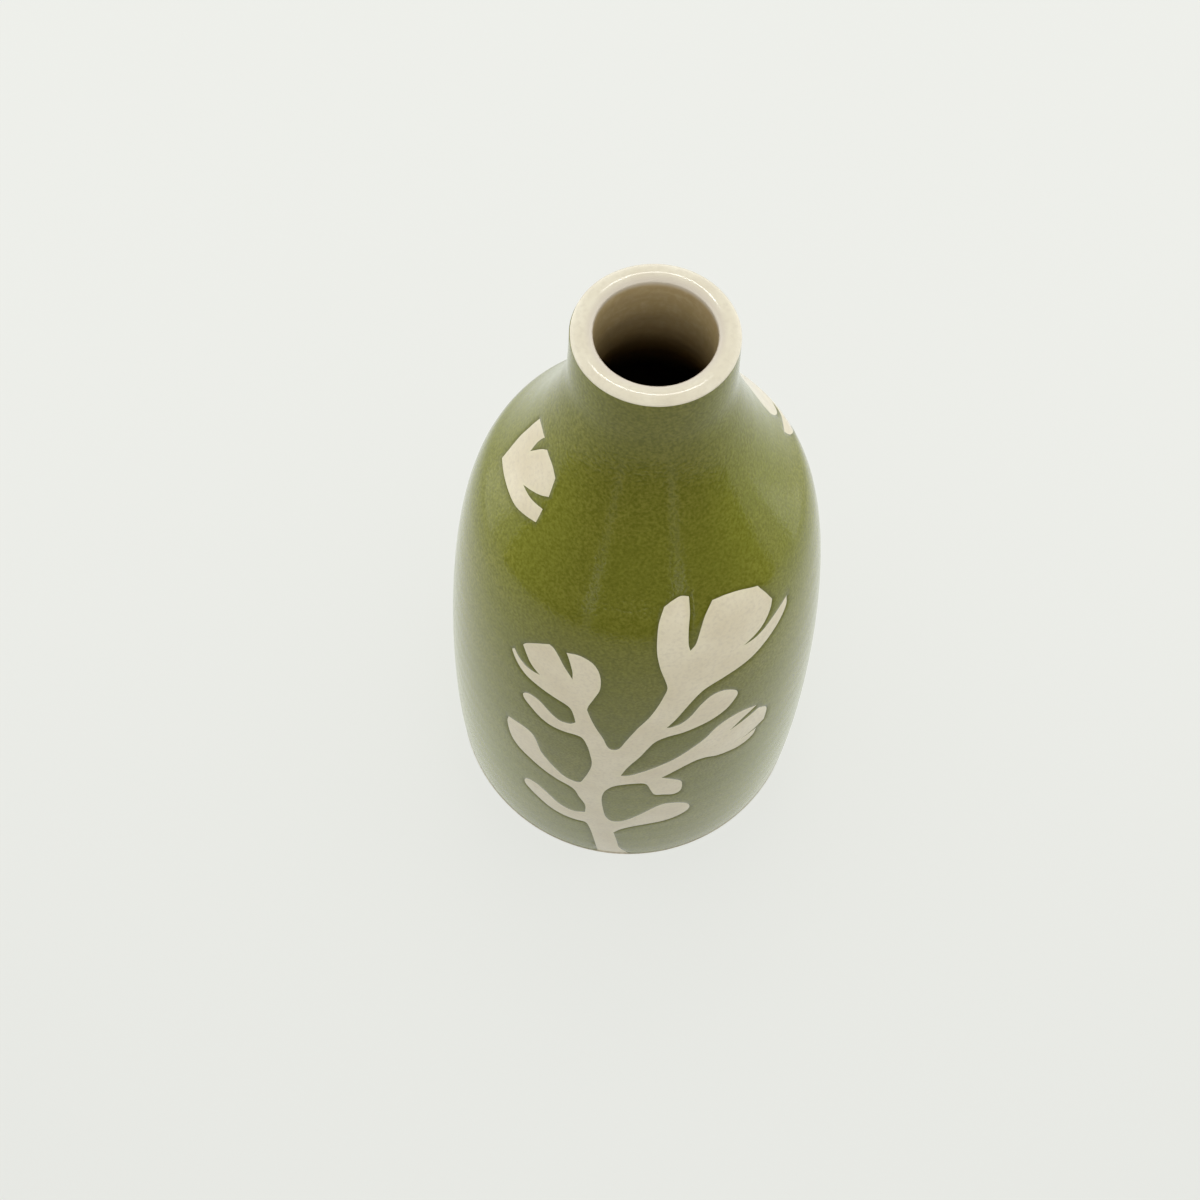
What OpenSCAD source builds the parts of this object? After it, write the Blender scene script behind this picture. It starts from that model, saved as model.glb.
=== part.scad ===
// Bud vase: a thrown stoneware pot with a green coat on the outside. Paper stencils kept the
// coat off a spray of blossom, so the pale clay shows there under clear glaze, as it does on
// the lip and inside. Z is up, the foot rests on Z = 0, and the front spray faces -Y.

/* [Overall] */
// Height from the table to the top of the lip
height = 140.5; // [117:0.5:169]
// Diameter of the wall at the foot
foot_d = 77.4; // [64:0.1:93]
// How far the lower wall swells beyond the foot
foot_swell = 0.8; // [0:0.1:3]
// Height of the control point that gives the lower wall its swell
swell_h = 15; // [5:1:25]

/* [Shoulder] */
// Diameter where the wall turns in to the shoulder
shoulder_d = 50.6; // [42:0.1:61]
// Drop from the lip to the turn of the shoulder
shoulder_drop = 37.2; // [33:0.1:44]
// Lean of the wall from upright at the shoulder, in degrees
shoulder_lean = 37; // [32:1:42]
// Reach of the wall's curve below the shoulder
wall_bow = 15.7; // [12:0.1:19]
// Reach of the shoulder's curve above it
shoulder_bow = 12.8; // [10:0.1:15]

/* [Neck and mouth] */
// Diameter at the bottom of the neck
neck_d = 23.7; // [23:0.1:28]
// Length of the near-straight neck
neck_h = 7.7; // [5:0.1:9.3]
// Reach of the curve that runs into the neck
neck_bow = 6.5; // [4:0.1:8]
// Diameter of the neck's line carried up to the top of the lip
rim_d = 22.8; // [22:0.1:27.4]
// Diameter of the mouth
mouth_d = 16.8; // [14:0.1:20.2]
// Height of the rounded lip, and so of its uncoloured band
lip_h = 0.7; // [0.5:0.1:1.2]
// Half-width of the rounding on each side of the lip
lip_round = 1.2; // [0.6:0.1:1.5]
// Length of straight throat below the lip
throat_len = 15; // [12:0.5:18]

/* [Walls and layers] */
// Thickness of the belly wall
wall = 4.5; // [3:0.1:6]
// Thickness of the floor
floor_t = 5; // [4:0.1:8]
// Radius of the inside corner between wall and floor
floor_fillet = 8; // [4:0.5:12]
// Thickness of the green coat and of the clear glaze in its windows
coat_t = 0.5; // [0.4:0.05:0.8]
// Thickness of the clear glaze inside and on the lip
glaze_t = 0.3; // [0.2:0.05:0.6]

/* [Foot] */
// Height of bare clay below the coat
bare_h = 1.2; // [0.8:0.1:3]
// Bevel on the outer edge of the foot
foot_bevel = 0.8; // [0.4:0.1:1.2]
// Width of the ring that the vase stands on
foot_ring_w = 7; // [4:0.5:12]
// Depth of the hollow turned inside the foot ring
foot_hollow = 1; // [0.5:0.1:2]

/* [Stencils] */
// Height of the wall that the stencils are drawn for
drawn_wall_h = 103.3; // [100:0.1:106]
// Shoulder diameter that the stencils are drawn for
drawn_shoulder_d = 50.6; // [49:0.1:53]
// Direction of the shoulder blossom, in degrees round from the front
shoulder_blossom_turn = -73; // [-90:1:-60]
// Direction of the back spray
back_turn = 158; // [154:1:162]
// Extra height of the back spray over the front one
back_stretch = 1.09; // [1:0.01:1.1]
// Direction of the back spray's large blossom
back_blossom_turn = 130; // [127:1:133]

/* [Hidden] */
$fn = 96;

// Levels, measured up from the table
shoulder_z = height - shoulder_drop;
neck_z = height - neck_h;
lip_z = height - lip_h;
throat_z = height - throat_len;
mouth_r = mouth_d / 2;

// Points on a cubic Bezier curve, leaving out its first point
function bezier(a, b, c, d, steps) = [
    for (i = [1:steps]) let (t = i / steps, s = 1 - t)
        s * s * s * a + 3 * s * s * t * b + 3 * s * t * t * c + t * t * t * d
];

// Outer profile, as [radius, height] from the table to the top of the lip
foot_point = [foot_d / 2, 0];
shoulder_point = [shoulder_d / 2, shoulder_z];
shoulder_way = [-sin(shoulder_lean), cos(shoulder_lean)];
neck_point = [neck_d / 2, neck_z];
rim_point = [rim_d / 2, height];
neck_way = (rim_point - neck_point) / norm(rim_point - neck_point);
profile = concat(
    [foot_point],
    bezier(foot_point, [foot_d / 2 + foot_swell, swell_h],
           shoulder_point - wall_bow * shoulder_way, shoulder_point, 14),
    bezier(shoulder_point, shoulder_point + shoulder_bow * shoulder_way,
           neck_point - neck_bow * neck_way, neck_point, 8),
    [rim_point]);
radius_table = [for (p = profile) [p[1], p[0]]];
function radius_at(z) = lookup(z, radius_table);
function reversed(list) = [for (i = [len(list) - 1:-1:0]) list[i]];

// Stretch of the profile between two levels, set in by a thickness
function outer_line(inset, from, to) = concat(
    [[radius_at(from) - inset, from]],
    [for (p = profile) if (p[1] > from + 0.1 && p[1] < to - 0.1) [p[0] - inset, p[1]]],
    [[radius_at(to) - inset, to]]);

// Rounded lip, from its outer lower edge over the top to the mouth
function lip_line(inset) = let (
        rise = lip_h - inset,
        out_r = radius_at(lip_z) - inset,
        in_r = mouth_r + inset,
        across = min(lip_round, (radius_at(lip_z) - mouth_r) / 2) - inset)
    concat(
        [for (a = [15:15:90]) [out_r - across * (1 - cos(a)), lip_z + rise * sin(a)]],
        [for (a = [90:-15:0]) [in_r + across * (1 - cos(a)), lip_z + rise * sin(a)]]);

// Inside of the pot, from the middle of the floor up to the throat, set out by a thickness
corner_z = floor_t + floor_fillet;
throat_wall = radius_at(throat_z) - mouth_r;
function wall_at(z) = lookup(z, [[shoulder_z, wall], [throat_z, throat_wall]]);
corner_r = radius_at(corner_z) - wall_at(corner_z);
function cavity_line(grow) = concat(
    [[0, floor_t - grow]],
    [for (a = [-90:18:0])
        [corner_r - floor_fillet + (floor_fillet + grow) * cos(a),
         corner_z + (floor_fillet + grow) * sin(a)]],
    [for (p = profile) if (p[1] > corner_z + 0.5 && p[1] < throat_z - 0.5)
        [p[0] - wall_at(p[1]) + grow, p[1]]],
    [[mouth_r + grow, throat_z]]);

// Stencil outlines, as [across, up] seen square on; a third value of 1 marks a sharp corner
low_left_leaf = [
    [-9, 22.7], [-11, 22.6], [-13.5, 22.8], [-16, 24], [-18, 26], [-20, 28.3], [-21.3, 30.5],
    [-21.3, 33], [-20.3, 34.5], [-18.5, 34.5], [-16.5, 32.3], [-14.3, 29.2], [-11.5, 28],
    [-9, 29.5, 1]];
mid_left_leaf = [
    [-9, 34], [-10.2, 38], [-11, 41], [-12.3, 42.5], [-14.5, 43.5], [-17, 45], [-19.7, 47],
    [-22, 49], [-23.2, 52], [-23.6, 56.5], [-23.2, 59.2, 1], [-20.5, 60], [-18.8, 59.3],
    [-18, 57], [-17.3, 53.5], [-15.7, 50.3], [-13.5, 47], [-11.5, 45.8], [-10, 46.2], [-9.2, 48.5]];
top_left_leaf = [
    [-8, 54], [-7.7, 57.3], [-8, 60.6], [-8.6, 64.5], [-9.8, 67.3], [-13, 67.1], [-15.3, 67.3],
    [-17, 68.3], [-18.5, 70], [-19.6, 71.5], [-19.8, 73], [-19, 74.2], [-17.8, 74.5],
    [-16.5, 73.8], [-14.8, 71.8], [-13.4, 70.7], [-11.7, 71], [-10.6, 72.2, 1]];
left_blossom = [
    [-10.8, 74], [-11.3, 76.3], [-12.2, 77.4], [-14, 78.1], [-18, 79.5], [-19.5, 80.5],
    [-20.5, 82], [-21.2, 84.3], [-20.8, 85.3, 1], [-20.2, 84], [-19.4, 83.1], [-18.2, 82.6],
    [-16.5, 82.8, 1], [-17.3, 83.6], [-18.2, 85], [-19.2, 88.2, 1], [-18.5, 89.4], [-16.6, 91.3],
    [-14.7, 92.8, 1], [-14, 92.4], [-13.2, 91], [-12.4, 89], [-11, 86.2, 1], [-11, 88.3],
    [-11.4, 90.8], [-11.9, 92.8, 1], [-9.9, 93.3], [-8, 92.6], [-6.9, 91], [-6.4, 88.5],
    [-6.5, 85.5], [-7.3, 82.7], [-8.3, 79.6], [-8.6, 78, 1]];
crotch = [
    [-7.9, 75], [-6.9, 71.8], [-5.8, 68.8], [-5, 65.8], [-4.2, 64.7], [-3.2, 65], [-2.5, 66.3],
    [-1.7, 68.8], [0, 73.5], [1.8, 77.3], [3.2, 81.2]];
large_blossom = [
    [4, 84.2], [4.5, 86.8], [3.9, 89.6], [3.1, 92.4], [2.4, 96], [2.2, 99], [2.3, 102.3],
    [3, 104.7, 1], [4.3, 105.5], [5.5, 105.9], [6.7, 105.6, 1], [7, 103.3], [7, 100.8],
    [7.2, 97.6], [7.6, 95.9, 1], [8.4, 97.2], [8.9, 99.8], [9.4, 102.1], [10.4, 104, 1],
    [12.6, 103.9], [15.1, 103.3], [17.7, 102.2, 1], [19.2, 100], [20.6, 97.5, 1], [20.5, 95.8],
    [19.9, 94], [18.8, 92.7], [16.6, 91.6, 1], [18.4, 91.6], [19.8, 92.1], [21.2, 93.1],
    [23.4, 94.6, 1], [23.6, 92.5], [22.7, 90.5], [21.2, 88.8], [19.1, 87.1], [17.2, 86.3],
    [14.3, 85.5], [11.5, 84.4], [10, 82.9]];
top_right_leaf = [
    [8.2, 79.6], [6.5, 75.8], [5.1, 73.3, 1], [6.2, 73.4], [7.7, 74.1], [9.2, 76], [10.6, 79],
    [12.4, 81], [14.4, 81], [16.4, 79.3], [17.1, 77.6], [16.8, 76], [15.5, 73.8], [13.2, 72.2],
    [10.6, 71.2], [8.2, 70.4], [5.5, 69.8], [3.5, 68.3], [2.2, 65.6], [1, 62.3], [-1, 57.7],
    [-2.3, 53.2, 1]];
bud = [
    [-0.9, 53.4], [1.3, 54.9], [4.4, 57.3], [7.5, 59.8], [10.2, 62.6], [12.5, 65.2], [14.3, 68],
    [16.3, 69.3], [18.8, 69.3], [21.7, 67.5, 1], [19.4, 66.2], [17.1, 64, 1], [19.6, 64.8],
    [22.3, 65.6, 1], [23.8, 63.5], [24.3, 61.2], [24.2, 58, 1], [22.3, 57.2], [20, 56.6, 1],
    [22.9, 56.7, 1], [22.4, 54.4], [20.2, 53.6], [17.5, 54.3], [15.5, 55], [13.6, 56.2],
    [11.4, 56.4], [8.6, 54.6], [6.5, 52.7], [5.4, 51.7, 1]];
small_bud = [
    [7.4, 50.2], [9.2, 48.3], [9.7, 45.8], [9.5, 42.8], [8.3, 41.7], [6.3, 42.4], [4.6, 43],
    [3.7, 45.5], [3, 48.2], [2.2, 49.4], [0.7, 49.5], [-1.5, 48.8], [-3.7, 47.2], [-5.2, 44],
    [-5.7, 39.7], [-5.4, 34], [-4.8, 29.2], [-3.7, 26.9]];
low_right_leaf = [
    [-2.1, 26.8], [-0.1, 28.5], [2.1, 31.6], [4.8, 35.3], [6.7, 36.8], [9, 36.2], [11.1, 34.4],
    [12.1, 32.2], [11.9, 29.5], [10, 27.4], [7.2, 26], [4, 25.2], [0.8, 23.7], [-1.6, 21.4],
    [-3, 18.8, 1]];
trunk_foot = [[-2.2, 12.6], [-1.5, 6.8], [0.3, 2], [1.2, -2, 1], [-6, -2, 1], [-7, 10], [-8, 19]];

// The front spray is one cutting; the back one ends its branch inside a blossom of its own
leaves_up = concat(low_left_leaf, mid_left_leaf, top_left_leaf, left_blossom, crotch);
leaves_down = concat(top_right_leaf, bud, small_bud, low_right_leaf, trunk_foot);
branch_end = [[4.2, 89, 1], [11, 88.5, 1]];
front_cutting = concat(leaves_up, large_blossom, leaves_down);
back_cutting = concat(leaves_up, branch_end, leaves_down);
shoulder_cutting = [
    [-4.9, 118.5, 1], [-2.9, 119.2], [-0.9, 119.5, 1], [-1.3, 118.7], [-1.8, 117.2],
    [-2, 114.9, 1], [-1, 116.5], [0, 118], [1, 119.1, 1], [3.4, 118.6], [5.1, 117.6, 1],
    [5.5, 116.3], [6.1, 114.4, 1], [4.5, 113.1], [1.2, 111.2, 1], [3.9, 111.4], [6.6, 112.1, 1],
    [7.2, 109.7, 1], [4.1, 108.5], [2.1, 108], [-1.5, 107.7], [-5.3, 107.3], [-6.7, 107.1, 1],
    [-6.8, 111.7], [-6.1, 114.7], [-5.6, 116.6]];
// Where the large blossom sits on the back, against its place on the front
back_blossom_across = 14;
back_blossom_up = 11.5;

// Smooth closed curve through an outline's points, broken at its sharp corners
function is_sharp(p) = len(p) == 3;
function flat_point(p) = [p[0], p[1]];
function curved(outline) = let (n = len(outline)) [
    for (i = [0:n - 1]) let (
        before = outline[(i + n - 1) % n], here = outline[i],
        next = outline[(i + 1) % n], after = outline[(i + 2) % n],
        a = flat_point(here), d = flat_point(next),
        out_way = is_sharp(here) ? d - a : (d - flat_point(before)) / 2,
        in_way = is_sharp(next) ? d - a : (flat_point(after) - a) / 2)
        each [a, (4 * a + 4 * d + out_way - in_way) / 8]
];

up_scale = shoulder_z / drawn_wall_h;
across_scale = shoulder_d / drawn_shoulder_d;

// Solid that a flat stencil sweeps out from the axis in its own direction
module stencil(outline, turn, mirrored = false, shift = [0, 0], stretch = 1) {
    side = mirrored ? -1 : 1;
    placed = [for (p = curved(outline))
        [(shift[0] + side * p[0]) * across_scale, (shift[1] + stretch * p[1]) * up_scale]];
    rotate([0, 0, turn]) rotate([90, 0, 0]) linear_extrude(height = foot_d) polygon(placed);
}

module front_stencil() { stencil(front_cutting, 0); }
module shoulder_stencil() { stencil(shoulder_cutting, shoulder_blossom_turn); }
module back_stencils() {
    stencil(back_cutting, back_turn, mirrored = true, stretch = back_stretch);
    stencil(large_blossom, back_blossom_turn, mirrored = true,
            shift = [back_blossom_across, back_blossom_up]);
}

// Whole skin of the outer wall, before the stencils divide it
module outer_skin() {
    rotate_extrude() polygon(concat(
        outer_line(0, bare_h, lip_z), reversed(outer_line(coat_t, bare_h, lip_z))));
}

// Thrown pot with its turned foot
module clay_body() {
    color("#d8d0bd") rotate_extrude() polygon(concat(
        [[0, foot_hollow], [foot_d / 2 - foot_bevel - foot_ring_w - foot_hollow, foot_hollow],
         [foot_d / 2 - foot_bevel - foot_ring_w, 0], [foot_d / 2 - foot_bevel, 0],
         [radius_at(foot_bevel), foot_bevel], [radius_at(bare_h), bare_h]],
        outer_line(coat_t, bare_h, lip_z),
        lip_line(glaze_t),
        reversed(cavity_line(glaze_t))));
}

// Green coat on the outer wall, with the stencils' windows
module green_coat() {
    color("#7d8048") difference() {
        outer_skin();
        front_stencil();
        shoulder_stencil();
        back_stencils();
    }
}

// Clear-glazed clay in the front window
module front_spray() {
    color("#d6cfbf") intersection() {
        outer_skin();
        front_stencil();
    }
}

// Clear-glazed clay in the window on the left shoulder
module shoulder_blossom() {
    color("#d6cfbf") intersection() {
        outer_skin();
        shoulder_stencil();
    }
}

// Clear-glazed clay in the windows at the back
module back_spray() {
    color("#d6cfbf") intersection() {
        outer_skin();
        back_stencils();
    }
}

// Clear glaze over the lip
module rim_glaze() {
    color("#e2dcc8") rotate_extrude() polygon(concat(
        [[radius_at(lip_z), lip_z]], lip_line(0), reversed(lip_line(glaze_t)),
        [[radius_at(lip_z) - coat_t, lip_z]]));
}

// Clear glaze poured round the inside, up the straight throat to the lip
module inner_glaze() {
    color("#b5a88a") rotate_extrude() polygon(concat(
        cavity_line(0), [[mouth_r, lip_z], [mouth_r + glaze_t, lip_z]],
        reversed(cavity_line(glaze_t))));
}

clay_body();
green_coat();
front_spray();
shoulder_blossom();
back_spray();
rim_glaze();
inner_glaze();
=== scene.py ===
import math

import bmesh
import bpy
import numpy as np
from mathutils import Matrix, Vector
from mathutils.geometry import delaunay_2d_cdt
from mathutils.kdtree import KDTree


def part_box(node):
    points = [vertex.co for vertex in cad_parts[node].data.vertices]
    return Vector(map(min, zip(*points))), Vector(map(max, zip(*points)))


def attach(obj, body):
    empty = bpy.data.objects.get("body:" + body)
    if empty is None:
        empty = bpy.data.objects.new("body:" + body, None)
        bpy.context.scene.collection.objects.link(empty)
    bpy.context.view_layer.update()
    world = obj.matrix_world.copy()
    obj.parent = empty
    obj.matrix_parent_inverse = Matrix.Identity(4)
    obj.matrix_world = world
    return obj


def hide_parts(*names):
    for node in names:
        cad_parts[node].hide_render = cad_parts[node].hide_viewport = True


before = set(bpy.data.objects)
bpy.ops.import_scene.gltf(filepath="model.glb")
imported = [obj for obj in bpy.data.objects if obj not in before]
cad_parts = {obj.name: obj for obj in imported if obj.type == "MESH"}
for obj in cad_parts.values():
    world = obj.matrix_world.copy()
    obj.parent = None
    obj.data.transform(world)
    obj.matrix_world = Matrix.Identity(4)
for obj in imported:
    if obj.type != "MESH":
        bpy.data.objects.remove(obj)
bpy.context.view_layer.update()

# ---- Clay body ------------------------------------------------------------------------
# A pot thrown on the wheel from pale stoneware, 3 to 5 mm thick. The foot is turned once the
# clay is leather hard: a bevelled edge, a flat ring to stand on and a shallow hollow inside it.
# Only the foot stays bare, so it shows matt clay and the rings of the turning tool.

# Sizes are in mm, and the meshes are made in metres
MM = 0.001
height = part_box("rim_glaze")[1].z / MM
foot_d, foot_swell, swell_h = 77.4, 0.8, 15
shoulder_d, shoulder_drop, shoulder_lean = 50.6, 37.2, math.radians(37)
wall_bow, shoulder_bow = 15.7, 12.8
neck_d, neck_h, neck_bow, rim_d = 23.7, 7.7, 6.5, 22.8
shoulder_z, neck_z = height - shoulder_drop, height - neck_h
lip_h, throat_len, mouth_r = 0.7, 15.0, 8.4
lip_z, throat_z = height - lip_h, height - throat_len
wall, floor_t, floor_fillet, throat_bend = 4.5, 5.0, 8.0, 1.3
bare_h, foot_bevel, foot_ring_w, foot_hollow = 1.2, 0.8, 7.0, 1.0
coat_t, glaze_t = 0.5, 0.3


def bezier(a, b, c, d, steps):
    """Points on the curve from a to d, pulled by b and c, without its first point."""
    t = np.linspace(0, 1, steps + 1)[1:, None]
    s = 1 - t
    return s**3 * a + 3 * s * s * t * b + 3 * s * t * t * c + t**3 * d


def turned_profile():
    """The outer line [radius, height] from the foot to the rim."""
    foot = np.array([foot_d / 2, 0.0])
    swell = np.array([foot_d / 2 + foot_swell, swell_h])
    shoulder = np.array([shoulder_d / 2, shoulder_z])
    lean = np.array([-math.sin(shoulder_lean), math.cos(shoulder_lean)])
    neck, rim = np.array([neck_d / 2, neck_z]), np.array([rim_d / 2, height])
    neck_way = (rim - neck) / np.linalg.norm(rim - neck)
    belly = bezier(foot, swell, shoulder - wall_bow * lean, shoulder, 160)
    top = bezier(shoulder, shoulder + shoulder_bow * lean, neck - neck_bow * neck_way, neck, 80)
    return np.vstack([foot, belly, top, rim])


profile = turned_profile()


def radius_at(z):
    return np.interp(z, profile[:, 1], profile[:, 0])


corner_z = floor_t + floor_fillet
throat_wall = radius_at(throat_z) - mouth_r


def wall_at(z):
    return np.interp(z, [shoulder_z, throat_z], [wall, throat_wall])


corner_r = radius_at(corner_z) - wall_at(corner_z)


def outer_line(inset, low, high, step=1.0):
    """The outer line between two heights, moved in by the inset."""
    z = np.linspace(low, high, max(2, int((high - low) / step)))
    return np.stack([radius_at(z) - inset, z], 1)


def lip_line(inset, steps=32):
    """Half round of the lip, from its outer lower edge over the crest to the mouth."""
    out_r, in_r = radius_at(lip_z) - inset, mouth_r + inset
    a = np.linspace(0, math.pi, steps + 1)[1:]
    return np.stack([(out_r + in_r) / 2 + (out_r - in_r) / 2 * np.cos(a),
                     lip_z + (lip_h - inset) * np.sin(a)], 1)


def cavity_line(grow, step=1.2):
    """Inside of the pot, from the middle of the floor up to the mouth's edge."""
    a = np.linspace(-math.pi / 2, 0, 13)
    corner = np.stack([corner_r - floor_fillet + (floor_fillet + grow) * np.cos(a),
                       corner_z + (floor_fillet + grow) * np.sin(a)], 1)
    floor = np.stack([np.linspace(0, corner[0, 0], 16)[:-1], np.full(15, floor_t - grow)], 1)
    z = np.linspace(corner_z, lip_z, int((lip_z - corner_z) / step))[1:]
    beyond = np.where(z > throat_z, throat_z - z, radius_at(z) - wall_at(z) - mouth_r)
    side = np.stack([mouth_r + grow + (beyond + np.hypot(beyond, throat_bend)) / 2, z], 1)
    return np.vstack([floor, corner, side])


def foot_line(tool_mark=0.06, arris=0.04):
    """Underside from the axis out: hollow with tool marks, flat ring, rounded edge."""
    ring_in = foot_d / 2 - foot_bevel - foot_ring_w
    hollow = np.stack([np.linspace(0, ring_in - foot_hollow, 60), np.full(60, foot_hollow)], 1)
    hollow[1:-1, 1] -= tool_mark * (1 + np.sin(hollow[1:-1, 0] * 2.1))
    ring = np.stack([np.linspace(ring_in, foot_d / 2 - foot_bevel, 8), np.zeros(8)], 1)
    ring[0, 1] = ring[-1, 1] = arris
    a = np.linspace(0.15, math.pi / 2, 5)
    edge = np.stack([foot_d / 2 - foot_bevel * (1 - np.sin(a)), foot_bevel * (1 - np.cos(a))], 1)
    return np.vstack([hollow, ring, edge])


def placed(name, data):
    thing = bpy.data.objects.new(name, data)
    bpy.context.scene.collection.objects.link(thing)
    return thing


def new_piece(name, verts_mm, faces, slot, stands_for, material, smooth_angle=50):
    mesh = bpy.data.meshes.new(name)
    mesh.from_pydata([tuple(v) for v in np.asarray(verts_mm) * MM], [], faces)
    mesh.validate()
    bm = bmesh.new()
    bm.from_mesh(mesh)
    bmesh.ops.recalc_face_normals(bm, faces=bm.faces)
    bm.to_mesh(mesh)
    bm.free()
    mesh.shade_smooth()
    mesh.set_sharp_from_angle(angle=math.radians(smooth_angle))
    piece = placed(name, mesh)
    mesh.materials.append(material)
    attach(piece, "root")
    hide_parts(stands_for)
    return piece


def lathe(line, around, wobble=None):
    """Turns a line of points [radius, height] round the axis. One that starts and ends on the axis
    closes there. Any other is a loop and closes on itself."""
    turn = np.linspace(0, 2 * math.pi, around, endpoint=False)
    verts, rings, faces = [], [], []
    for r, z in line:
        if r == 0:
            rings.append([len(verts)] * around)
            verts.append((0.0, 0.0, z))
            continue
        rr = r + (wobble(turn, z) if wobble else 0 * turn)
        rings.append(list(range(len(verts), len(verts) + around)))
        verts.extend(zip(rr * np.sin(turn), -rr * np.cos(turn), [z] * around))
    steps = len(rings) - 1 if line[0][0] == 0 else len(rings)
    for i in range(steps):
        a, b = rings[i], rings[(i + 1) % len(rings)]
        for j in range(around):
            k = (j + 1) % around
            corners = [a[j], a[k], b[k], b[j]]
            faces.append(tuple(dict.fromkeys(corners)))
    return verts, faces


def plain_material(name):
    material = bpy.data.materials.new(name)
    material.use_nodes = True
    return material, material.node_tree, material.node_tree.nodes["Principled BSDF"]


def node(tree, kind, **settings):
    """A new node: each setting is one of its sockets, or else one of its options."""
    n = tree.nodes.new(kind)
    for key, value in settings.items():
        if key in n.inputs.keys():
            n.inputs[key].default_value = value
        else:
            setattr(n, key, value)
    return n


def between(tree, value, low, high, **more):
    """Rises from 0 where the value is low to 1 where it is high."""
    band = node(tree, "ShaderNodeMapRange", **{"From Min": low, "From Max": high}, **more)
    tree.links.new(value, band.inputs["Value"])
    return band.outputs["Result"]


def speckle(tree, place, scale, low, high, **more):
    """Specks and clouds in the clay or the glaze, from 0 to 1."""
    noise = node(tree, "ShaderNodeTexNoise", Scale=scale, **more)
    tree.links.new(place, noise.inputs["Vector"])
    return between(tree, noise.outputs["Fac"], low, high)


def blend_colours(tree, mask, first, second, share=1.0):
    """Goes from the first colour to the second where the mask is 1, up to the second's share."""
    if share < 1:
        part = node(tree, "ShaderNodeMath", operation="MULTIPLY")
        part.inputs[1].default_value = share
        tree.links.new(mask, part.inputs[0])
        mask = part.outputs[0]
    mix = node(tree, "ShaderNodeMix", data_type="RGBA")
    tree.links.new(mask, mix.inputs["Factor"])
    for socket, colour in ((mix.inputs["A"], first), (mix.inputs["B"], second)):
        if isinstance(colour, tuple):
            socket.default_value = (*colour, 1)
        else:
            tree.links.new(colour, socket)
    return mix.outputs["Result"]


def finish(shader, settings):
    for socket, value in settings.items():
        shader.inputs[socket].default_value = value


def roughen(tree, shader, relief, strength, depth):
    """Lets the relief stand out of the surface, by a depth in metres."""
    bump = node(tree, "ShaderNodeBump", Strength=strength, Distance=depth)
    tree.links.new(relief, bump.inputs["Height"])
    tree.links.new(bump.outputs["Normal"], shader.inputs["Normal"])


clay, tree, shader = plain_material("bare_clay")
place = node(tree, "ShaderNodeTexCoord").outputs["Object"]
grog = speckle(tree, place, 900, 0.45, 0.62, Detail=3.0)
cloud = speckle(tree, place, 60, 0.35, 0.7, Detail=2.0)
pale_clay, paler_clay, brown_grog = (0.62, 0.56, 0.45), (0.70, 0.65, 0.54), (0.50, 0.43, 0.33)
tone = blend_colours(tree, cloud, pale_clay, paler_clay)
tone = blend_colours(tree, grog, tone, brown_grog)
tree.links.new(tone, shader.inputs["Base Color"])
finish(shader, {"Roughness": 0.85})
roughen(tree, shader, grog, 0.35, 0.00015)

section = np.vstack([foot_line(), [[radius_at(bare_h), bare_h]], outer_line(coat_t, bare_h, lip_z),
                     lip_line(glaze_t), cavity_line(glaze_t)[:-1][::-1]])
pot = lathe(section, 180)
new_piece("clay_body_pot", *pot, "bare_clay", "clay_body", clay)

# ---- Green coat and its windows -------------------------------------------------------
# Paper stencils are stuck on the pot, green is brushed over them and they are peeled off,
# so the spray stays bare clay. One clear glaze then covers both: it stands a little proud
# on the green, sinks at the stencils' edges, and pools darker there.

# Each cutting is a list of (across, up), seen square on. A third value of 1 is a sharp corner
low_left_leaf = [
    (-9, 22.7), (-11, 22.6), (-13.5, 22.8), (-16, 24), (-18, 26), (-20, 28.3), (-21.3, 30.5),
    (-21.3, 33), (-20.3, 34.5), (-18.5, 34.5), (-16.5, 32.3), (-14.3, 29.2), (-11.5, 28),
    (-9, 29.5, 1)]
mid_left_leaf = [
    (-9, 34), (-10.2, 38), (-11, 41), (-12.3, 42.5), (-14.5, 43.5), (-17, 45), (-19.7, 47),
    (-22, 49), (-23.2, 52), (-23.6, 56.5), (-23.2, 59.2, 1), (-20.5, 60), (-18.8, 59.3),
    (-18, 57), (-17.3, 53.5), (-15.7, 50.3), (-13.5, 47), (-11.5, 45.8), (-10, 46.2), (-9.2, 48.5)]
top_left_leaf = [
    (-8, 54), (-7.7, 57.3), (-8, 60.6), (-8.6, 64.5), (-9.8, 67.3), (-13, 67.1), (-15.3, 67.3),
    (-17, 68.3), (-18.5, 70), (-19.6, 71.5), (-19.8, 73), (-19, 74.2), (-17.8, 74.5),
    (-16.5, 73.8), (-14.8, 71.8), (-13.4, 70.7), (-11.7, 71), (-10.6, 72.2, 1)]
left_blossom = [
    (-10.8, 74), (-11.3, 76.3), (-12.2, 77.4), (-14, 78.1), (-18, 79.5), (-19.5, 80.5),
    (-20.5, 82), (-21.2, 84.3), (-20.8, 85.3, 1), (-20.2, 84), (-19.4, 83.1), (-18.2, 82.6),
    (-16.5, 82.8, 1), (-17.3, 83.6), (-18.2, 85), (-19.2, 88.2, 1), (-18.5, 89.4), (-16.6, 91.3),
    (-14.7, 92.8, 1), (-14, 92.4), (-13.2, 91), (-12.4, 89), (-11, 86.2, 1), (-11, 88.3),
    (-11.4, 90.8), (-11.9, 92.8, 1), (-9.9, 93.3), (-8, 92.6), (-6.9, 91), (-6.4, 88.5),
    (-6.5, 85.5), (-7.3, 82.7), (-8.3, 79.6), (-8.6, 78, 1)]
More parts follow.
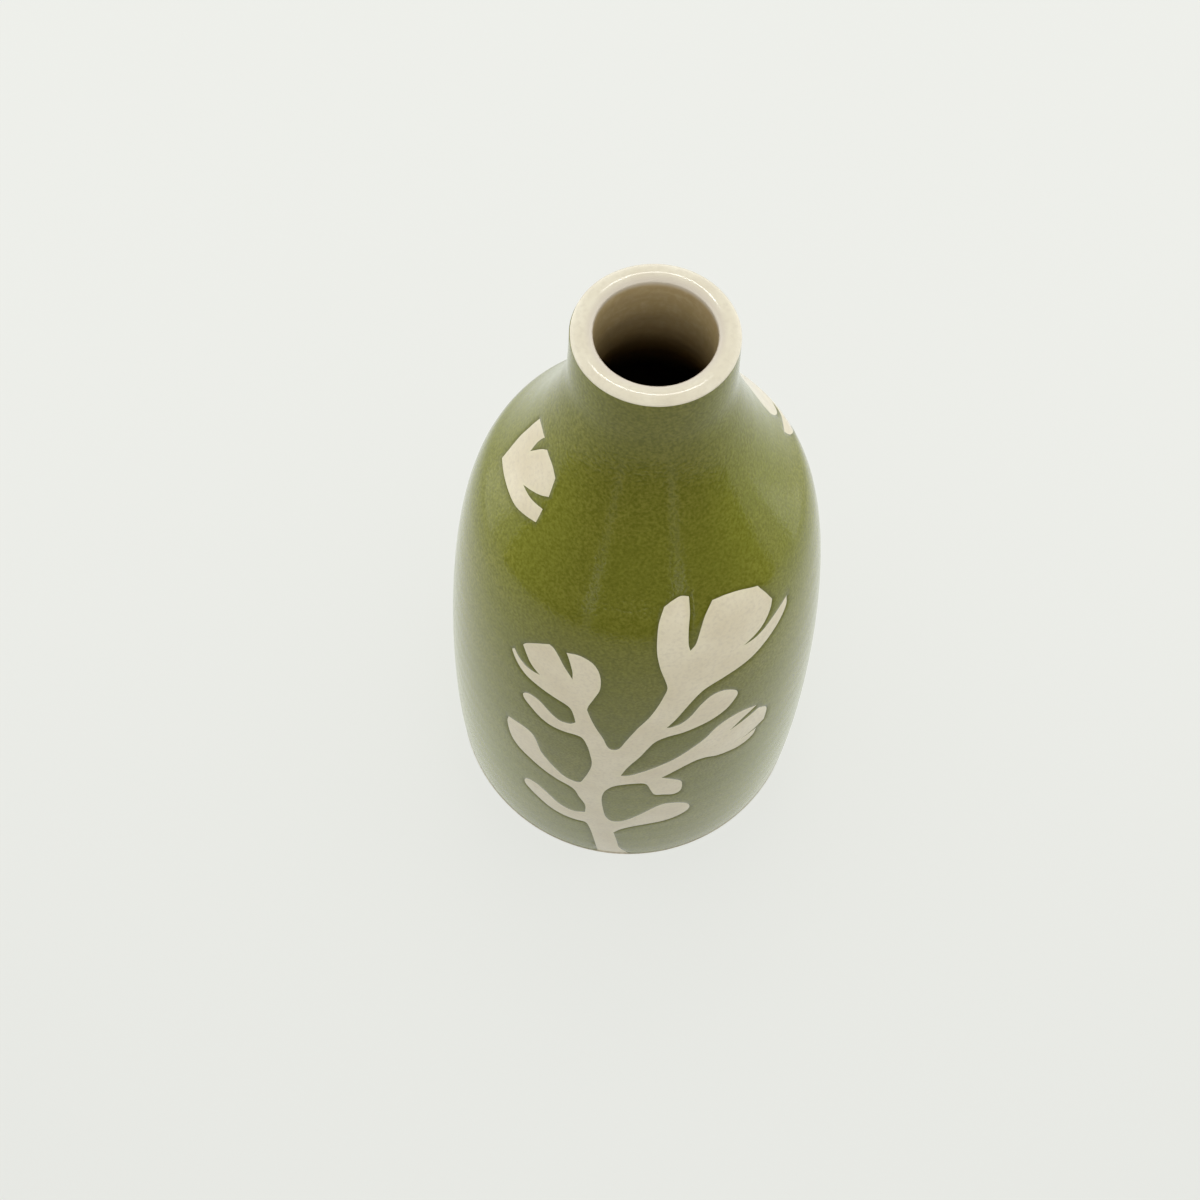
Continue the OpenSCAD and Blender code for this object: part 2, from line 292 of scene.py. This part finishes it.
crotch = [
    (-7.9, 75), (-6.9, 71.8), (-5.8, 68.8), (-5, 65.8), (-4.2, 64.7), (-3.2, 65), (-2.5, 66.3),
    (-1.7, 68.8), (0, 73.5), (1.8, 77.3), (3.2, 81.2)]
large_blossom = [
    (4, 84.2), (4.5, 86.8), (3.9, 89.6), (3.1, 92.4), (2.4, 96), (2.2, 99), (2.3, 102.3),
    (3, 104.7, 1), (4.3, 105.5), (5.5, 105.9), (6.7, 105.6, 1), (7, 103.3), (7, 100.8),
    (7.2, 97.6), (7.6, 95.9, 1), (8.4, 97.2), (8.9, 99.8), (9.4, 102.1), (10.4, 104, 1),
    (12.6, 103.9), (15.1, 103.3), (17.7, 102.2, 1), (19.2, 100), (20.6, 97.5, 1), (20.5, 95.8),
    (19.9, 94), (18.8, 92.7), (16.6, 91.6, 1), (18.4, 91.6), (19.8, 92.1), (21.2, 93.1),
    (23.4, 94.6, 1), (23.6, 92.5), (22.7, 90.5), (21.2, 88.8), (19.1, 87.1), (17.2, 86.3),
    (14.3, 85.5), (11.5, 84.4), (10, 82.9)]
top_right_leaf = [
    (8.2, 79.6), (6.5, 75.8), (5.1, 73.3, 1), (6.2, 73.4), (7.7, 74.1), (9.2, 76), (10.6, 79),
    (12.4, 81), (14.4, 81), (16.4, 79.3), (17.1, 77.6), (16.8, 76), (15.5, 73.8), (13.2, 72.2),
    (10.6, 71.2), (8.2, 70.4), (5.5, 69.8), (3.5, 68.3), (2.2, 65.6), (1, 62.3), (-1, 57.7),
    (-2.3, 53.2, 1)]
bud = [
    (-0.9, 53.4), (1.3, 54.9), (4.4, 57.3), (7.5, 59.8), (10.2, 62.6), (12.5, 65.2), (14.3, 68),
    (16.3, 69.3), (18.8, 69.3), (21.7, 67.5, 1), (19.4, 66.2), (17.1, 64, 1), (19.6, 64.8),
    (22.3, 65.6, 1), (23.8, 63.5), (24.3, 61.2), (24.2, 58, 1), (22.3, 57.2), (20, 56.6, 1),
    (22.9, 56.7, 1), (22.4, 54.4), (20.2, 53.6), (17.5, 54.3), (15.5, 55), (13.6, 56.2),
    (11.4, 56.4), (8.6, 54.6), (6.5, 52.7), (5.4, 51.7, 1)]
small_bud = [
    (7.4, 50.2), (9.2, 48.3), (9.7, 45.8), (9.5, 42.8), (8.3, 41.7), (6.3, 42.4), (4.6, 43),
    (3.7, 45.5), (3, 48.2), (2.2, 49.4), (0.7, 49.5), (-1.5, 48.8), (-3.7, 47.2), (-5.2, 44),
    (-5.7, 39.7), (-5.4, 34), (-4.8, 29.2), (-3.7, 26.9)]
low_right_leaf = [
    (-2.1, 26.8), (-0.1, 28.5), (2.1, 31.6), (4.8, 35.3), (6.7, 36.8), (9, 36.2), (11.1, 34.4),
    (12.1, 32.2), (11.9, 29.5), (10, 27.4), (7.2, 26), (4, 25.2), (0.8, 23.7), (-1.6, 21.4),
    (-3, 18.8, 1)]
trunk_foot = [(-2.2, 12.6), (-1.5, 6.8), (0.3, 2), (1.2, -2, 1), (-6, -2, 1), (-7, 10), (-8, 19)]
leaves_up = low_left_leaf + mid_left_leaf + top_left_leaf + left_blossom + crotch
leaves_down = top_right_leaf + bud + small_bud + low_right_leaf + trunk_foot
front_cutting = leaves_up + large_blossom + leaves_down
back_cutting = leaves_up + [(4.2, 89, 1), (11, 88.5, 1)] + leaves_down
shoulder_cutting = [
    (-4.9, 118.5, 1), (-2.9, 119.2), (-0.9, 119.5, 1), (-1.3, 118.7), (-1.8, 117.2),
    (-2, 114.9, 1), (-1, 116.5), (0, 118), (1, 119.1, 1), (3.4, 118.6), (5.1, 117.6, 1),
    (5.5, 116.3), (6.1, 114.4, 1), (4.5, 113.1), (1.2, 111.2, 1), (3.9, 111.4), (6.6, 112.1, 1),
    (7.2, 109.7, 1), (4.1, 108.5), (2.1, 108), (-1.5, 107.7), (-5.3, 107.3), (-6.7, 107.1, 1),
    (-6.8, 111.7), (-6.1, 114.7), (-5.6, 116.6)]

# The wall is worked on unrolled: across is the angle times this radius, up is along the wall
flat_r = 33.0
seam_turn = math.radians(-125)
run = np.concatenate([[0], np.cumsum(np.hypot(*np.diff(profile, axis=0).T))])


def run_at(z):
    return np.interp(z, profile[:, 1], run)


wall_low, wall_high = run_at(bare_h), run_at(lip_z)


def curved(outline, steps=6):
    """Smooth closed curve through the points, broken at those marked as sharp."""
    points = np.array([p[:2] for p in outline], float)
    sharp = [len(p) == 3 for p in outline]
    n, curve = len(points), []
    for i in range(n):
        a, b = points[i], points[(i + 1) % n]
        way_out = b - a if sharp[i] else (b - points[i - 1]) / 2
        way_in = b - a if sharp[(i + 1) % n] else (points[(i + 2) % n] - a) / 2
        for t in np.arange(steps) / steps:
            curve.append((2 * t**3 - 3 * t * t + 1) * a + (t**3 - 2 * t * t + t) * way_out
                         + (3 * t * t - 2 * t**3) * b + (t**3 - t * t) * way_in)
    return np.array(curve)


def stencil(outline, turn, mirrored=False, shift=(0, 0), stretch=1.0):
    """A cutting pressed square onto the wall at a turn in degrees, as points on the unrolled wall."""
    flat = curved(outline)
    across = shift[0] + (-1 if mirrored else 1) * flat[:, 0]
    up = np.maximum(shift[1] + stretch * flat[:, 1], 0.2)
    x, y = (math.radians(turn) + np.arcsin(across / radius_at(up))) * flat_r, run_at(up)
    clockwise = (x * np.roll(y, -1) - np.roll(x, -1) * y).sum() < 0
    loop = np.stack([x, y], 1)
    return loop[::-1] if clockwise else loop


windows = {
    "front_spray": [stencil(front_cutting, 0)],
    "shoulder_blossom": [stencil(shoulder_cutting, -73)],
    "back_spray": [stencil(back_cutting, 158, mirrored=True, stretch=1.09),
                   stencil(large_blossom, 130, mirrored=True, shift=(14, 11.5))],
}


def thrown_wobble(turn, z, shrink=0.09):
    """Faint finger rings and the slight sway of a form thrown by hand."""
    rings = 0.010 * np.sin(2 * math.pi * z / 6.3 + 0.25 * np.sin(turn) + 1.3 * np.sin(z / 17))
    sway = 0.05 * np.cos(2 * turn + z / 40) + 0.03 * np.sin(3 * turn - z / 23)
    return (rings + sway) * np.clip(z / 10, 0, 1) - shrink


def on_wall(points, depth=0.0):
    """Places unrolled points on the thrown wall, sunk by the depth."""
    turn = points[:, 0] / flat_r
    r = np.interp(points[:, 1], run, profile[:, 0])
    z = np.interp(points[:, 1], run, profile[:, 1])
    r = r + thrown_wobble(turn, z) - depth
    return np.stack([r * np.sin(turn), -r * np.cos(turn), z], 1)


def gap_to_edge(points):
    """Distance from each unrolled point to the nearest stencil edge."""
    return np.array([edge_tree.find(p)[2] for p in on_wall(points)])


def stretch_at(points):
    """How wide a step across is on the real wall, beside its width on the unrolled one."""
    return np.interp(points[:, 1], run, profile[:, 0]) / flat_r


outlines = [o for group in windows.values() for o in group]
marks = []
for o in outlines:
    after = np.roll(o, -1, axis=0)
    marks.append(np.vstack([o * (1 - t) + after * t for t in (0, 0.25, 0.5, 0.75)]))
marks = on_wall(np.vstack(marks))
edge_tree = KDTree(len(marks))
for i, mark in enumerate(marks):
    edge_tree.insert(mark, i)
edge_tree.balance()

# Rings of points beside each outline carry the rounded edge of the glaze
edge_steps, fine_step, border_gap, ring_clear = (0.18, 0.42, 0.8), 0.4, 0.1, 0.85
beside = []
for o in outlines:
    way = np.roll(o, -1, axis=0) - np.roll(o, 1, axis=0)
    k = stretch_at(o)
    way[:, 0] *= k
    way /= np.linalg.norm(way, axis=1)[:, None] + 1e-9
    for gap in edge_steps:
        for side in (1, -1):
            ring = o + side * gap * np.stack([-way[:, 1] / k, way[:, 0]], 1)
            ring = ring[:: 1 if gap < fine_step else 2]
            ring = ring[(ring[:, 1] > wall_low + border_gap) & (ring[:, 1] < wall_high - border_gap)]
            clear = gap_to_edge(ring) > ring_clear * gap
            beside.append(ring[clear])
beside = np.vstack(beside)

# The rest of the wall is an even net of points, every other row set over by half a cell
cell, edge_clear = 1.1, 1.0
columns = int(2 * math.pi * flat_r / cell)
rows = np.linspace(wall_low, wall_high, int((wall_high - wall_low) / cell) + 1)
left, right = seam_turn * flat_r, (seam_turn + 2 * math.pi) * flat_r
grid = []
for i, s in enumerate(rows[1:-1]):
    shift = (0.5 if i % 2 else 1.0) * (right - left) / columns
    x = np.linspace(left, right, columns + 1)[:-1] + shift
    grid.append(np.stack([x[:-1], np.full(len(x) - 1, s)], 1))
grid = np.vstack(grid)
grid = grid[gap_to_edge(grid) > edge_clear]

border_x = np.linspace(left, right, columns + 1)
border = np.vstack([
    np.stack([border_x, np.full(columns + 1, wall_low)], 1),
    np.stack([np.full(len(rows) - 2, right), rows[1:-1]], 1),
    np.stack([border_x[::-1], np.full(columns + 1, wall_high)], 1),
    np.stack([np.full(len(rows) - 2, left), rows[1:-1][::-1]], 1)])
loops, start = [], 0
points = [border] + outlines
for loop in points:
    loops.append(list(range(start, start + len(loop))))
    start += len(loop)
points = np.vstack(points + [beside, grid])
flat, _, triangles, _, _, owners = delaunay_2d_cdt(
    [Vector(p) for p in points], [], loops, 0, 1e-4, True)
flat = np.array([tuple(v) for v in flat])

triangles_of = {"green_coat": []}
triangles_of.update({name: [] for name in windows})
owner_names = [name for name, group in windows.items() for _ in group]
for tri, owner in zip(triangles, owners):
    if 0 not in owner:
        continue
    inside = [owner_names[k - 1] for k in owner if k > 0]
    triangles_of[inside[0] if inside else "green_coat"].append(tuple(tri))

edge_gap = gap_to_edge(flat)
edge_round, pool_reach, weld = 0.3, 0.4, 0.002


def skin_piece(name, slot, material, dip, lie):
    """Closed skin of one group of triangles: dip is how far its edge sinks, lie how low it lies."""
    tris = triangles_of[name]
    used = sorted({v for t in tris for v in t})
    number = {v: i for i, v in enumerate(used)}
    here, gap = flat[used], edge_gap[used]
    depth = lie + (dip - lie) * np.exp(-(gap / edge_round) ** 2)
    outside = on_wall(here, depth)
    turn = here[:, 0] / flat_r
    r = np.interp(here[:, 1], run, profile[:, 0]) - coat_t
    inside = np.stack([r * np.sin(turn), -r * np.cos(turn), outside[:, 2]], 1)
    n = len(used)
    faces = [tuple(number[v] for v in t) for t in tris]
    ways = {}
    for t in faces:
        for a, b in zip(t, t[1:] + t[:1]):
            ways[(a, b)] = ways.get((a, b), 0) + 1
    rims = [(a, b) for (a, b) in ways if (b, a) not in ways]
    seam = np.minimum(abs(here[:, 0] - left), abs(here[:, 0] - right)) < 1e-3
    rims = [(a, b) for a, b in rims if not (seam[a] and seam[b])]
    inner = [tuple(n + v for v in reversed(t)) for t in faces]
    sides = [(b, a, n + a, n + b) for a, b in rims]
    verts = np.vstack([outside, inside])
    piece = new_piece(name + "_skin", verts, faces + inner + sides, slot, name, material)
    bm = bmesh.new()
    bm.from_mesh(piece.data)
    closeness = np.exp(-gap / pool_reach)
    layer = bm.verts.layers.float.new("edge")
    for v in bm.verts:
        v[layer] = closeness[v.index % n]
    bmesh.ops.remove_doubles(bm, verts=bm.verts, dist=weld * MM)
    bmesh.ops.recalc_face_normals(bm, faces=bm.faces)
    bm.to_mesh(piece.data)
    bm.free()
    piece.data.shade_smooth()
    piece.data.set_sharp_from_angle(angle=math.radians(50))


def multiply_colours(tree, first, second):
    mix = node(tree, "ShaderNodeMix", data_type="RGBA", blend_type="MULTIPLY")
    mix.inputs["Factor"].default_value = 1.0
    tree.links.new(first, mix.inputs["A"])
    tree.links.new(second, mix.inputs["B"])
    return mix.outputs["Result"]


def level(tree, place, low, high):
    """Rises from 0 at the low height to 1 at the high one, in mm."""
    split = node(tree, "ShaderNodeSeparateXYZ")
    tree.links.new(place, split.inputs[0])
    return between(tree, split.outputs["Z"], low * MM, high * MM, interpolation_type="SMOOTHSTEP")


def way_step(tree, operation, way):
    step = node(tree, "ShaderNodeVectorMath", operation=operation)
    tree.links.new(way, step.inputs[0])
    return step


def from_axis(tree, place):
    """The level way from the pot's axis to a point."""
    step = way_step(tree, "MULTIPLY", place)
    step.inputs[1].default_value = (1, 1, 0)
    return step.outputs[0]


def flank(tree, place, start):
    """0 at the front and back of the pot, 1 at its two sides."""
    unit = way_step(tree, "NORMALIZE", from_axis(tree, place)).outputs[0]
    split = node(tree, "ShaderNodeSeparateXYZ")
    tree.links.new(way_step(tree, "ABSOLUTE", unit).outputs[0], split.inputs[0])
    return between(tree, split.outputs["X"], start, 1.0, interpolation_type="SMOOTHSTEP")


green, tree, shader = plain_material("green_glaze")
place = node(tree, "ShaderNodeTexCoord").outputs["Object"]
cloud = speckle(tree, place, 38, 0.35, 0.68, Detail=4.0, Roughness=0.55)
mottle = speckle(tree, place, 420, 0.35, 0.7, Detail=3.0, Roughness=0.6)
fleck = speckle(tree, place, 2000, 0.32, 0.72, Detail=1.0)
olive, warm_olive, mid_olive = (0.134, 0.141, 0.017), (0.180, 0.170, 0.030), (0.156, 0.156, 0.022)
deep_olive, pooled_olive = (0.104, 0.106, 0.011), (0.060, 0.062, 0.006)
tone = blend_colours(tree, cloud, olive, warm_olive)
tone = blend_colours(tree, mottle, tone, mid_olive, 0.5)
tone = blend_colours(tree, fleck, deep_olive, tone)
# Paler at the two sides and towards the foot, darker at the neck: partly glaze thickness, partly
# painted light and painted shade
as_is, side_glaze_and_painted_light, foot_glaze_and_painted_light = (1.0, 1.0, 1.0), (1.42, 1.46, 1.6), (1.25, 1.28, 1.2)
neck_glaze_and_painted_shade = (0.82, 0.82, 0.88)
sides = blend_colours(tree, flank(tree, place, 0.35), as_is, side_glaze_and_painted_light)
low = blend_colours(tree, level(tree, place, 15, 78), foot_glaze_and_painted_light, as_is)
high = blend_colours(tree, level(tree, place, 112, 128), as_is, neck_glaze_and_painted_shade)
coat = multiply_colours(tree, sides, multiply_colours(tree, low, high))
tone = multiply_colours(tree, tone, coat)
edge = node(tree, "ShaderNodeAttribute", attribute_name="edge").outputs["Fac"]
tone = blend_colours(tree, edge, tone, pooled_olive, 0.7)
tree.links.new(tone, shader.inputs["Base Color"])
finish(shader, {"Roughness": 0.11, "IOR": 1.30, "Sheen Weight": 0.2, "Sheen Roughness": 0.25,
                "Sheen Tint": (0.93, 1.0, 0.90, 1)})
roughen(tree, shader, fleck, 0.3, 0.00005)
skin_piece("green_coat", "green_glaze", green, dip=0.12, lie=0.0)

# ---- Spray and blossoms ---------------------------------------------------------------
# Bare clay under clear glaze, in the windows that the stencils left. The clay has a fine
# grey-pink grain and a few iron specks, and the glaze is thinner here than on the green.

cream, tree, shader = plain_material("clear_glazed_clay")
place = node(tree, "ShaderNodeTexCoord").outputs["Object"]
grain = speckle(tree, place, 1500, 0.45, 0.75, Detail=2.0)
cloud = speckle(tree, place, 140, 0.3, 0.7, Detail=4.0)
buff, pale_buff = (0.62, 0.55, 0.40), (0.69, 0.63, 0.48)
grain_brown, pooled_cream = (0.52, 0.46, 0.36), (0.70, 0.66, 0.44)
tone = blend_colours(tree, cloud, buff, pale_buff)
tone = blend_colours(tree, grain, tone, grain_brown, 0.5)
edge = node(tree, "ShaderNodeAttribute", attribute_name="edge").outputs["Fac"]
tone = blend_colours(tree, edge, tone, pooled_cream, 0.4)
tree.links.new(tone, shader.inputs["Base Color"])
finish(shader, {"Roughness": 0.16, "IOR": 1.30, "Sheen Weight": 0.2, "Sheen Roughness": 0.25,
                "Sheen Tint": (1.0, 1.0, 0.97, 1)})
roughen(tree, shader, grain, 0.2, 0.00006)
for window in windows:
    skin_piece(window, "clear_glazed_clay", cream, dip=0.12, lie=0.08)

# ---- Lip ------------------------------------------------------------------------------
# The lip is wiped clean of green and rounded with a wet leather, so it shows cream clay
# under clear glaze. It ends where the wall turns down, outside and in the mouth.


def reach(tree, place, low, high):
    """Rises from 0 at the low distance from the pot's axis to 1 at the high one, in mm."""
    far = way_step(tree, "LENGTH", from_axis(tree, place)).outputs["Value"]
    return between(tree, far, low * MM, high * MM, interpolation_type="SMOOTHSTEP")


lip_glaze, tree, shader = plain_material("rim_glaze")
place = node(tree, "ShaderNodeTexCoord").outputs["Object"]
grain = speckle(tree, place, 1500, 0.45, 0.75, Detail=2.0)
cloud = speckle(tree, place, 190, 0.3, 0.7, Detail=4.0)
lip_buff, lip_cream = (0.565, 0.515, 0.395), (0.635, 0.595, 0.475)
lip_grain, inner_slope_painted_shade = (0.50, 0.45, 0.35), (0.50, 0.45, 0.37)
tone = blend_colours(tree, cloud, lip_buff, lip_cream)
tone = blend_colours(tree, grain, tone, lip_grain, 0.45)
# Towards the mouth the lip is painted greyer and darker: painted shade on the inner slope, partly a
# blend into the liner's tan
crest = reach(tree, place, mouth_r, mouth_r + 1.3)
tone = blend_colours(tree, crest, inner_slope_painted_shade, tone)
tree.links.new(tone, shader.inputs["Base Color"])
finish(shader, {"Roughness": 0.1, "IOR": 1.5})


def lip_wobble(turn, z, shrink=0.06):
    """The slight sway that the leather leaves, the same at every height."""
    return 0.03 * np.sin(2 * turn + 0.6) + 0.015 * np.sin(5 * turn) - shrink


section = np.vstack([[[radius_at(lip_z), lip_z]], lip_line(0), lip_line(glaze_t)[::-1],
                     [[radius_at(lip_z) - coat_t, lip_z]]])
lip = lathe(section, 240, lip_wobble)
new_piece("lip_glaze_ring", *lip, "rim_glaze", "rim_glaze", lip_glaze, smooth_angle=80)

# ---- Inside ---------------------------------------------------------------------------
# Clear glaze is poured in and out again. Inside, the wall keeps the spiral of the potter's
# fingers. The clay is tan, and deeper down it is painted darker towards black: painted shade, as
# little light gets down.

liner, tree, shader = plain_material("liner_glaze")
place = node(tree, "ShaderNodeTexCoord").outputs["Object"]
cloud = speckle(tree, place, 120, 0.3, 0.7, Detail=4.0)
grain = speckle(tree, place, 1100, 0.42, 0.72, Detail=3.0)
lying = node(tree, "ShaderNodeMapping")
lying.inputs["Scale"].default_value = (1, 1, 9)
tree.links.new(place, lying.inputs["Vector"])
streak = speckle(tree, lying.outputs["Vector"], 110, 0.35, 0.65, Detail=2.0)
tan, pale_tan, tan_grain = (0.34, 0.26, 0.12), (0.41, 0.318, 0.17), (0.50, 0.42, 0.27)
ring_brown, deep_painted_shade, under_lip = (0.30, 0.22, 0.11), (0.32, 0.24, 0.11), (0.48, 0.42, 0.33)
tone = blend_colours(tree, cloud, tan, pale_tan)
tone = blend_colours(tree, grain, tone, tan_grain, 0.4)
tone = blend_colours(tree, streak, tone, ring_brown, 0.4)
# Painted shade: the tan is multiplied darker deeper down in the pot
depth = level(tree, place, lip_z - 17.5, lip_z - 4)
tone = multiply_colours(tree, tone, blend_colours(tree, depth, deep_painted_shade, as_is))
tone = blend_colours(tree, level(tree, place, lip_z - 0.9, lip_z), tone, under_lip)
tree.links.new(tone, shader.inputs["Base Color"])
finish(shader, {"Roughness": 0.4})


def inside_rings(turn, z):
    """The potter's finger rings, which fade out just below the lip."""
    rings = 0.07 * np.sin(2 * math.pi * z / 2.3 - turn) + 0.05 * np.sin(2 * math.pi * z / 5.1 + turn)
    return lip_wobble(turn, z) + rings * np.clip((lip_z - z) / 3, 0, 1)


section = np.vstack([cavity_line(0), cavity_line(glaze_t)[::-1]])
inside = lathe(section, 160, inside_rings)
new_piece("liner_glaze_skin", *inside, "liner_glaze", "inner_glaze", liner)

# ---- Floor, light and camera ----------------------------------------------------------
# Pale paper under an even white light. A low dark cloth stands round the front in three strips, so
# that the glossy wall has something dark to mirror. Two glowing white cards stand behind the cloth's
# ends;
# they light nothing and show only as bright reflections on the pot's sides.

paper_white = (0.985, 1.0, 0.955, 1)
bpy.ops.mesh.primitive_plane_add(size=6, location=(0, 0, 0))
floor = bpy.context.object
floor.name = "paper_floor"
paper, tree, shader = plain_material("pale_paper")
finish(shader, {"Base Color": (0.14, 0.14, 0.135, 1), "Roughness": 1.0, "Specular IOR Level": 0.0,
                "Emission Color": paper_white, "Emission Strength": 0.69})
floor.data.materials.append(paper)


def stage_sheet(name, verts, faces, material):
    """A sheet round the pot that only its light and its reflections show."""
    mesh = bpy.data.meshes.new(name)
    mesh.from_pydata(verts, [], faces)
    mesh.materials.append(material)
    sheet = placed(name, mesh)
    sheet.visible_camera = False
    return sheet


cloth_r, cloth_top = 0.27, 0.15
strips, strip_steps = ((-80, -28.5), (-25, 19), (25, 75)), 12
cloth_verts, cloth_faces = [], []
for start, end in strips:
    first = len(cloth_verts)
    for turn in np.radians(np.linspace(start, end, strip_steps + 1)):
        x, y = float(cloth_r * np.sin(turn)), float(-cloth_r * np.cos(turn))
        cloth_verts += [(x, y, 0.0), (x, y, cloth_top)]
    cloth_faces += [(k, k + 2, k + 3, k + 1) for k in range(first, first + 2 * strip_steps, 2)]
felt, tree, shader = plain_material("dark_felt")
finish(shader, {"Base Color": (0.012, 0.012, 0.011, 1), "Roughness": 1.0})
stage_sheet("dark_cloth", cloth_verts, cloth_faces, felt)

card_x, card_front, card_back, card_top = 0.27, 0.01, 0.45, 0.4
# These cards glow though they are no lamp: they light nothing and only put bright reflections on the
# pot's sides
card_stuff, tree, shader = plain_material("white_card")
finish(shader, {"Base Color": (0.8, 0.8, 0.78, 1), "Emission Color": paper_white,
                "Emission Strength": 1.0})
for x in (-card_x, card_x):
    corners = [(x, card_front, 0.0), (x, card_back, 0.0), (x, card_back, card_top),
               (x, card_front, card_top)]
    card = stage_sheet("white_card", corners, [(0, 1, 2, 3)], card_stuff)
    card.visible_diffuse = False
    card.visible_shadow = False

# The surround is brightest at the horizon. Where it is seen behind the floor it has the floor's tone
horizon, overhead = 2.3, 0.7
world = bpy.data.worlds.new("studio")
bpy.context.scene.world = world
world.use_nodes = True
tree = world.node_tree
sky = tree.nodes["Background"]
sky.inputs["Color"].default_value = (1.0, 1.0, 0.98, 1)
way = node(tree, "ShaderNodeTexCoord").outputs["Generated"]
split = node(tree, "ShaderNodeSeparateXYZ")
tree.links.new(way, split.inputs[0])
glow = node(tree, "ShaderNodeMapRange", **{"To Min": horizon, "To Max": overhead})
tree.links.new(split.outputs["Z"], glow.inputs["Value"])
tree.links.new(glow.outputs["Result"], sky.inputs["Strength"])
backdrop = node(tree, "ShaderNodeBackground", Color=(0.84, 0.86, 0.815, 1))
seen = node(tree, "ShaderNodeLightPath").outputs["Is Camera Ray"]
surround = node(tree, "ShaderNodeMixShader")
tree.links.new(seen, surround.inputs[0])
tree.links.new(sky.outputs[0], surround.inputs[1])
tree.links.new(backdrop.outputs[0], surround.inputs[2])
tree.links.new(surround.outputs[0], tree.nodes["World Output"].inputs["Surface"])

lamp_data = bpy.data.lights.new("strip_lamp", "AREA")
lamp_data.shape = "RECTANGLE"
lamp_data.size, lamp_data.size_y = 0.32, 0.05
lamp_data.energy = 0.8
lamp = placed("strip_lamp", lamp_data)
lamp.location = (0.0, 0.47, 1.02)
pot_top = Vector((0, 0, 0.14))
lamp.rotation_euler = (pot_top - lamp.location).to_track_quat("-Z", "Y").to_euler()

camera_data = bpy.data.cameras.new("camera")
camera_data.lens, camera_data.sensor_width = 36.0, 36.0
camera_data.clip_start = 0.01
camera = placed("camera", camera_data)
camera_at = Vector((-0.0067, -0.0967, 0.2697))
look_down, roll = math.radians(65.9), math.radians(1.04)
ahead = Vector((0, math.cos(look_down), -math.sin(look_down)))
rise = Vector((0, math.sin(look_down), math.cos(look_down)))
sideways = Vector((1, 0, 0))
right_way = sideways * math.cos(roll) + rise * math.sin(roll)
up_way = rise * math.cos(roll) - sideways * math.sin(roll)
camera.matrix_world = Matrix(
    [(right_way[i], up_way[i], -ahead[i], camera_at[i]) for i in range(3)] + [(0, 0, 0, 1)])
bpy.context.scene.camera = camera
bpy.context.scene.view_settings.view_transform = "Standard"
